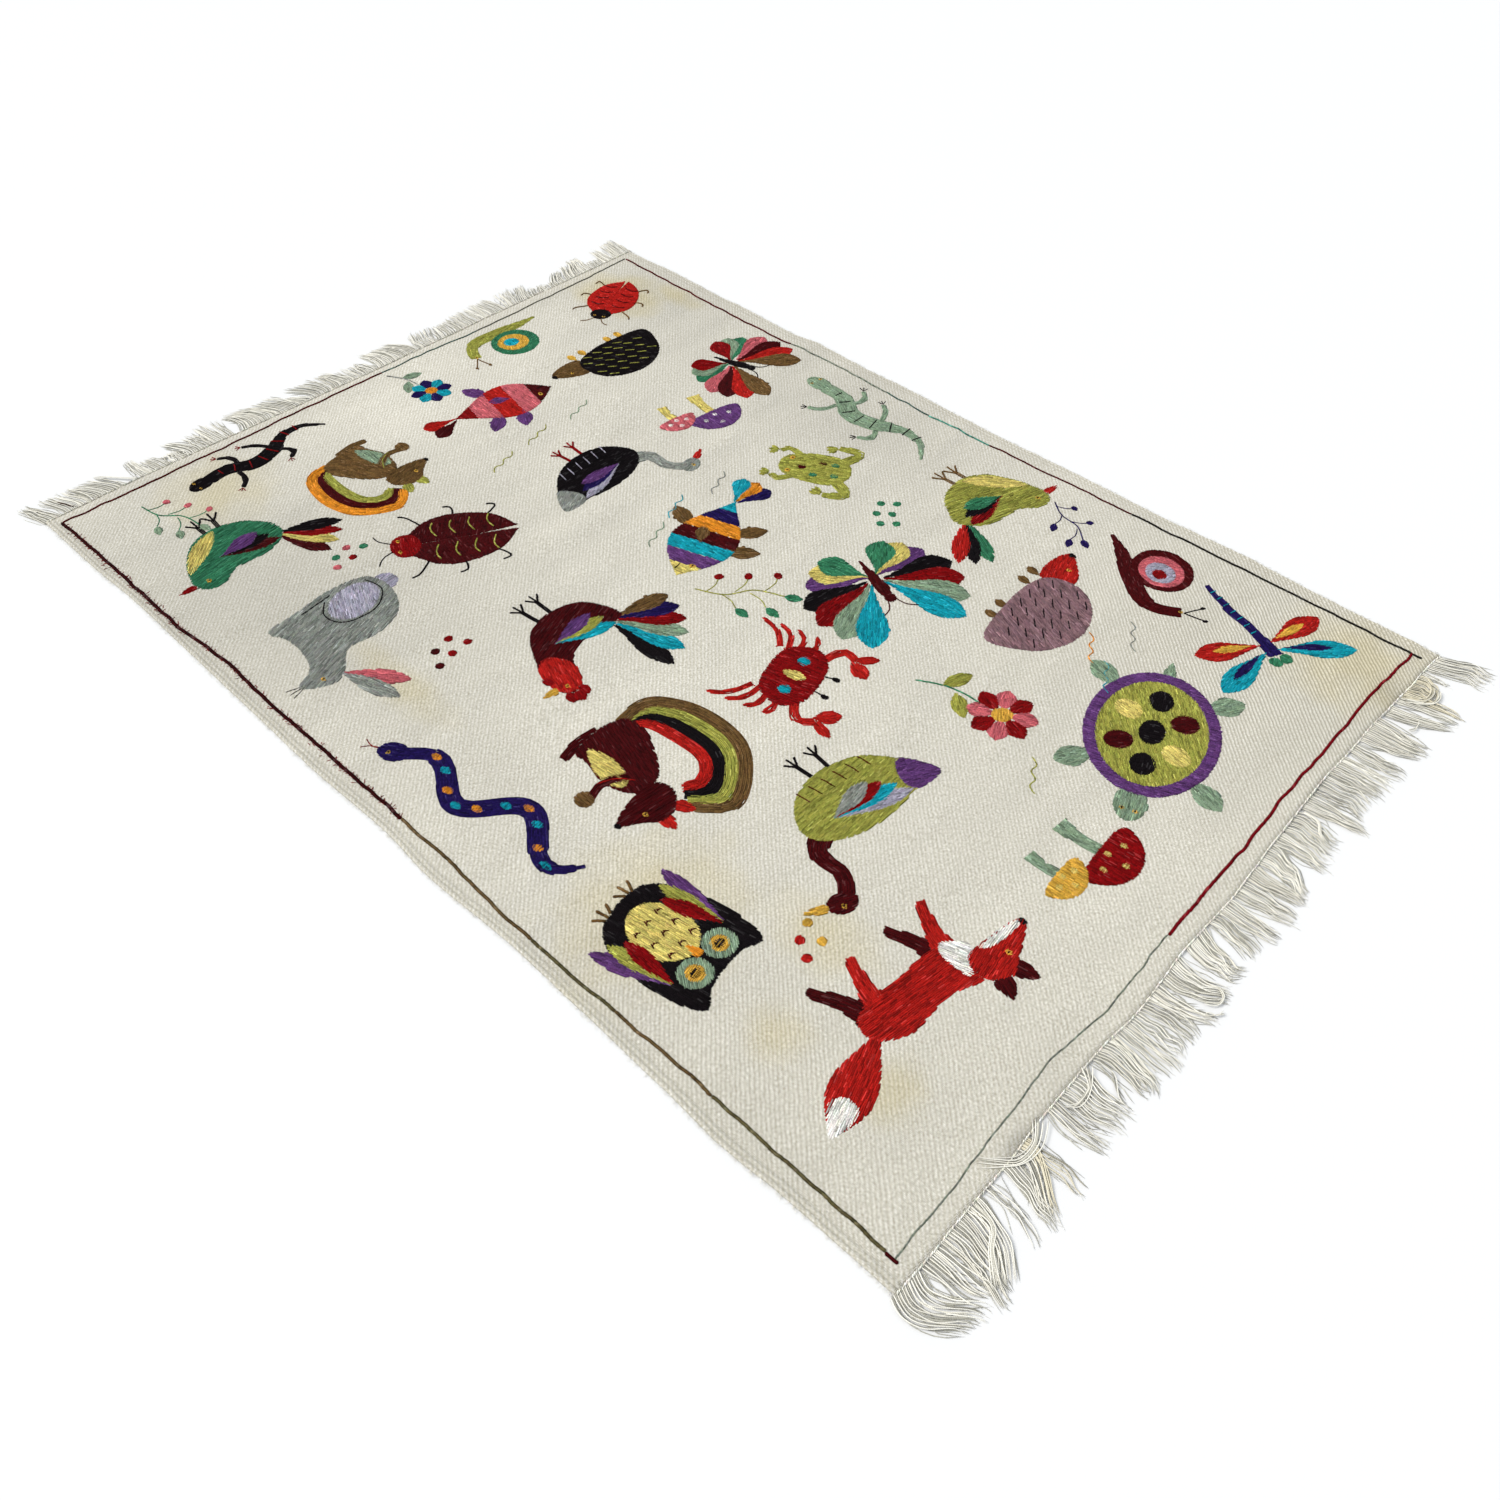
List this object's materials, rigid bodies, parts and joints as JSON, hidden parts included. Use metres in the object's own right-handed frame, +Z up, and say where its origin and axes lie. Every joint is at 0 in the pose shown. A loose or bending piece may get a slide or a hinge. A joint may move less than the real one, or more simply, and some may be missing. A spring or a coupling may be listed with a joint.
{
  "type": "embroidered kilim rug",
  "caption": "Flat-woven woollen floor rug with corded sides, a stitched border line, embroidered creatures and plants, and a loose warp fringe at both ends.",
  "frame": {"origin": "middle of the woven ground's underside, on the floor, halfway between its two sides and its two ends, fringe not counted", "axes": "+Y along the rug towards the end with the shorter fringe, +X across it, +Z up from the floor"},
  "size_m": [1.5295, 2.2256, 0.0081],
  "materials": {
    "ground_wool": "matte",
    "warp_yarn": "matte",
    "stitch_thread": "matte"
  },
  "bodies": {
    "root": {"woven_ground": "ground_wool", "fringe_near": "warp_yarn", "fringe_far": "warp_yarn"}
  },
  "joints": []
}
